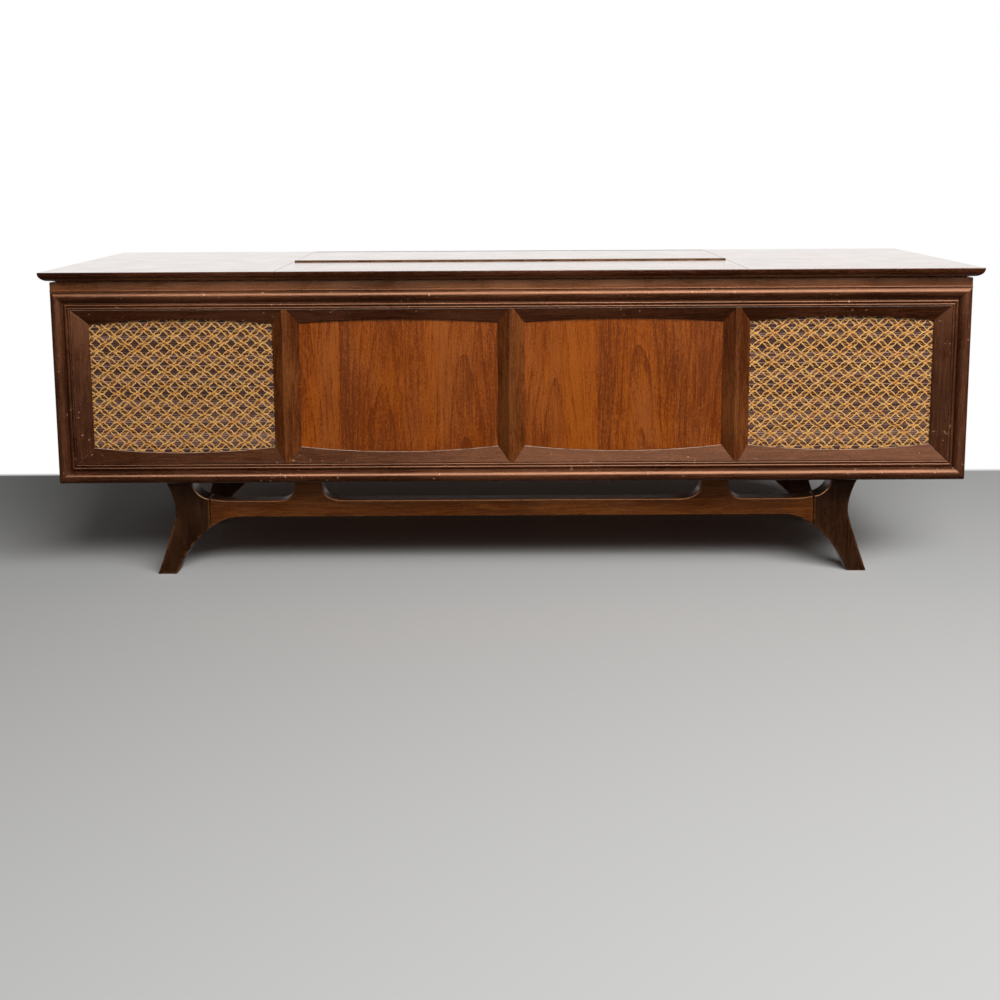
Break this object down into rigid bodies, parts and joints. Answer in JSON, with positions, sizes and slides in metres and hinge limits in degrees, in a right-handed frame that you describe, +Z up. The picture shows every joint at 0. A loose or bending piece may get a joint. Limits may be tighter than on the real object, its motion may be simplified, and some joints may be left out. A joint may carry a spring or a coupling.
{
  "type": "stereo console",
  "caption": "Long low wooden stereo console on curved legs, with a folding lid over a record changer and radio, and a cloth-fronted loudspeaker at each end.",
  "frame": {"origin": "on the floor under the middle of the top", "axes": "+X to the right along the console, +Y to its back, +Z up"},
  "size_m": [1.87, 0.56, 0.6512],
  "materials": {
    "dark_wood": "satin lacquered dark walnut",
    "leg_wood": "satin lacquered dark walnut, upright grain",
    "rail_wood": "satin lacquered lighter walnut, grain along the rail",
    "panel_wood": "satin lacquered orange-brown veneer, upright grain",
    "top_wood": "satin lacquered walnut veneer, grain along the top",
    "board_wood": "plain carcass board",
    "hardboard": "brown hardboard",
    "grille_cloth": "gold and brown woven speaker cloth",
    "steel": "zinc plated",
    "chrome": "polished",
    "brass": "aged brass",
    "black_metal": "semi-gloss black",
    "cream_metal": "satin cream",
    "brown_metal": "satin dark brown",
    "core_iron": "varnished laminations",
    "cone_paper": "black paper cone",
    "platter_metal": "turned",
    "rubber": "matt",
    "cream_plastic": "moulded",
    "knob_plastic": "dark brown with a metal cap",
    "pointer_red": "red",
    "glass": "clear, tinted"
  },
  "bodies": {
    "cabinet": {"left_side_panel": "dark_wood", "right_side_panel": "dark_wood", "bottom_board": "board_wood", "partitions": "board_wood", "back_panel": "hardboard", "cabinet_screws": "steel", "cord_grommet": "rubber", "left_top_board": "top_wood", "right_top_board": "top_wood", "rear_top_strip": "top_wood", "front_fascia": "dark_wood", "moulding_rails": "dark_wood", "moulding_stiles": "dark_wood", "splay_rails": "dark_wood", "splay_stiles": "dark_wood", "pilasters": "dark_wood", "front_panels": "panel_wood", "left_grille_cloth": "grille_cloth", "right_grille_cloth": "grille_cloth", "speaker_baffles": "board_wood", "woofer_frames": "black_metal", "woofer_cones": "cone_paper", "tweeters": "black_metal", "front_left_leg": "leg_wood", "front_right_leg": "leg_wood", "rear_legs": "leg_wood", "front_base_rail": "rail_wood", "rear_base_rail": "rail_wood", "base_cross_rails": "rail_wood", "back_hinge_fixed_plate": "brass", "changer_deck": "board_wood", "changer_plate": "cream_metal", "changer_motor": "black_metal", "record_spindle": "chrome", "control_panel": "brown_metal", "dial_glass": "glass", "receiver_chassis": "steel", "power_transformer": "core_iron"},
    "lid_rear": {"rear_lid_leaf": "top_wood", "fold_hinge_rear_plate": "brass", "back_hinge_lid_plate": "brass"},
    "lid_front": {"front_lid_leaf": "top_wood", "fold_hinge_front_plate": "brass"},
    "platter": {"platter": "platter_metal", "platter_mat": "rubber"},
    "idler": {"idler_wheel": "rubber"},
    "pulley": {"motor_pulley": "brass"},
    "arm_pillar": {"tonearm_pillar": "chrome"},
    "arm": {"tonearm": "cream_plastic"},
    "overarm": {"record_overarm": "chrome"},
    "lever": {"function_lever": "cream_plastic"},
    "tuning": {"tuning_knob": "knob_plastic"},
    "pointer": {"dial_pointer": "pointer_red"},
    "volume": {"volume_knob": "knob_plastic"},
    "balance": {"balance_knob": "knob_plastic"},
    "bass": {"bass_knob": "knob_plastic"},
    "treble": {"treble_knob": "knob_plastic"},
    "phono": {"phono_button": "cream_plastic"},
    "am": {"am_button": "cream_plastic"},
    "fm": {"fm_button": "cream_plastic"}
  },
  "joints": [
    {"name": "lid_raise", "type": "hinge", "parent": "cabinet", "child": "lid_rear", "pos_m": [0, 0.2621, 0.6468], "axis": [-1, 0, 0], "range_deg": [0, 95]},
    {"name": "lid_fold", "type": "hinge", "parent": "lid_rear", "child": "lid_front", "pos_m": [0, -0.03785, 0.6496], "axis": [-1, 0, 0], "range_deg": [0, 178]},
    {"name": "platter_spin", "type": "hinge", "parent": "cabinet", "child": "platter", "pos_m": [-0.215, -0.005, 0.5], "axis": [0, 0, 1], "continuous": true},
    {"name": "idler_spin", "type": "hinge", "parent": "cabinet", "child": "idler", "pos_m": [-0.13173, 0.06487, 0.5], "axis": [0, 0, 1], "continuous": true},
    {"name": "pulley_spin", "type": "hinge", "parent": "cabinet", "child": "pulley", "pos_m": [-0.13612, 0.03995, 0.49], "axis": [0, 0, 1], "continuous": true},
    {"name": "tonearm_swing", "type": "hinge", "parent": "cabinet", "child": "arm_pillar", "pos_m": [-0.043, 0.1, 0.51], "axis": [0, 0, -1], "range_deg": [0, 43]},
    {"name": "tonearm_lift", "type": "hinge", "parent": "arm_pillar", "child": "arm", "pos_m": [-0.043, 0.1, 0.528], "axis": [-1, 0, 0], "range_deg": [0, 15]},
    {"name": "overarm_swing", "type": "hinge", "parent": "cabinet", "child": "overarm", "pos_m": [-0.365, 0.115, 0.55], "axis": [0, 0, -1], "range_deg": [0, 60]},
    {"name": "lever_turn", "type": "hinge", "parent": "cabinet", "child": "lever", "pos_m": [-0.087, -0.151, 0.494], "axis": [0, 0, 1], "range_deg": [-25, 25]},
    {"name": "tuning_turn", "type": "hinge", "parent": "cabinet", "child": "tuning", "pos_m": [0.392, -0.025, 0.56], "axis": [0, 0, 1], "range_deg": [-450, 450]},
    {"name": "pointer_slide", "type": "slide", "parent": "cabinet", "child": "pointer", "axis": [1, 0, 0], "range_m": [-0.11, 0.11]},
    {"name": "volume_turn", "type": "hinge", "parent": "cabinet", "child": "volume", "pos_m": [0.105, -0.025, 0.56], "axis": [0, 0, 1], "range_deg": [-150, 150]},
    {"name": "balance_turn", "type": "hinge", "parent": "cabinet", "child": "balance", "pos_m": [0.171, -0.025, 0.56], "axis": [0, 0, 1], "range_deg": [-150, 150]},
    {"name": "bass_turn", "type": "hinge", "parent": "cabinet", "child": "bass", "pos_m": [0.237, -0.025, 0.56], "axis": [0, 0, 1], "range_deg": [-150, 150]},
    {"name": "treble_turn", "type": "hinge", "parent": "cabinet", "child": "treble", "pos_m": [0.303, -0.025, 0.56], "axis": [0, 0, 1], "range_deg": [-150, 150]},
    {"name": "phono_press", "type": "slide", "parent": "cabinet", "child": "phono", "axis": [0, 0, -1], "range_m": [0, 0.004], "stiffness_N_per_m": 300},
    {"name": "am_press", "type": "slide", "parent": "cabinet", "child": "am", "axis": [0, 0, -1], "range_m": [0, 0.004], "stiffness_N_per_m": 300},
    {"name": "fm_press", "type": "slide", "parent": "cabinet", "child": "fm", "axis": [0, 0, -1], "range_m": [0, 0.004], "stiffness_N_per_m": 300}
  ],
  "couplings": [
    {"joint": "idler_spin", "follows": "platter_spin", "ratio": 6.45},
    {"joint": "pulley_spin", "follows": "platter_spin", "ratio": -25.8},
    {"joint": "pointer_slide", "follows": "tuning_turn", "m_per_rad": -0.014}
  ]
}
